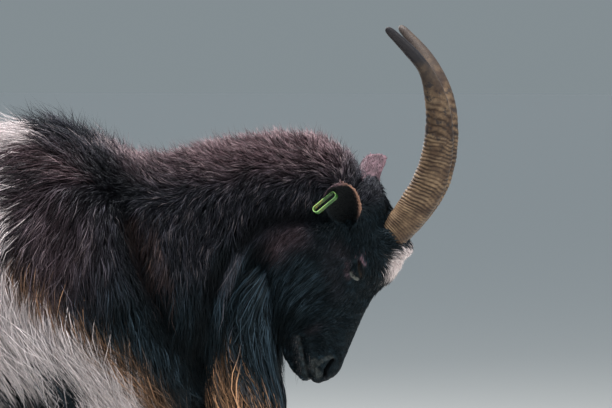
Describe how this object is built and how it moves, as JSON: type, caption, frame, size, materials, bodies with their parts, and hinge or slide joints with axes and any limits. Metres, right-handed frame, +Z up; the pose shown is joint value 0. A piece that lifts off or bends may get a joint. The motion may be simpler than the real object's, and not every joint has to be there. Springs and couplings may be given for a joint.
{
  "type": "standing billy goat model",
  "caption": "Life-size long-haired pied billy goat standing with its head tucked down, tall swept horns, a long beard and a plain green loop tag in the right ear.",
  "frame": {"origin": "centre of the bounding box in plan, on the floor under the hooves", "axes": "+X the way the goat faces, +Y its left side, +Z up"},
  "size_m": [1.2358, 0.3342, 0.9105],
  "materials": {
    "black_coat": "long dark brown-black hair",
    "beard_coat": "long blue-black hair with tan tips",
    "white_coat": "long cream-white hair, black over the shoulders",
    "ear_skin": "short dark fur with reddish brown edges",
    "horn": "ridged brown horn, smoother and darker at the tips",
    "hoof": "dark horn",
    "nose": "bare black skin",
    "eye": "glossy dark amber",
    "tag": "plain green plastic"
  },
  "bodies": {
    "root": {"head": "black_coat", "lower_jaw": "black_coat", "neck": "black_coat", "beard": "beard_coat", "trunk": "white_coat", "tail": "white_coat", "foreleg_left_upper": "white_coat", "foreleg_left_lower": "white_coat", "foreleg_left_hoof_inner": "hoof", "foreleg_left_dewclaw_inner": "hoof", "foreleg_left_hoof_outer": "hoof", "foreleg_left_dewclaw_outer": "hoof", "foreleg_right_upper": "white_coat", "foreleg_right_lower": "white_coat", "foreleg_right_hoof_inner": "hoof", "foreleg_right_dewclaw_inner": "hoof", "foreleg_right_hoof_outer": "hoof", "foreleg_right_dewclaw_outer": "hoof", "hindleg_left_upper": "white_coat", "hindleg_left_lower": "white_coat", "hindleg_left_hoof_inner": "hoof", "hindleg_left_dewclaw_inner": "hoof", "hindleg_left_hoof_outer": "hoof", "hindleg_left_dewclaw_outer": "hoof", "hindleg_right_upper": "white_coat", "hindleg_right_lower": "white_coat", "hindleg_right_hoof_inner": "hoof", "hindleg_right_dewclaw_inner": "hoof", "hindleg_right_hoof_outer": "hoof", "hindleg_right_dewclaw_outer": "hoof", "ear_left": "ear_skin", "ear_right": "ear_skin", "eye_left": "eye", "eye_right": "eye", "horn_left": "horn", "horn_right": "horn", "nose": "nose", "ear_tag": "tag"}
  },
  "joints": []
}
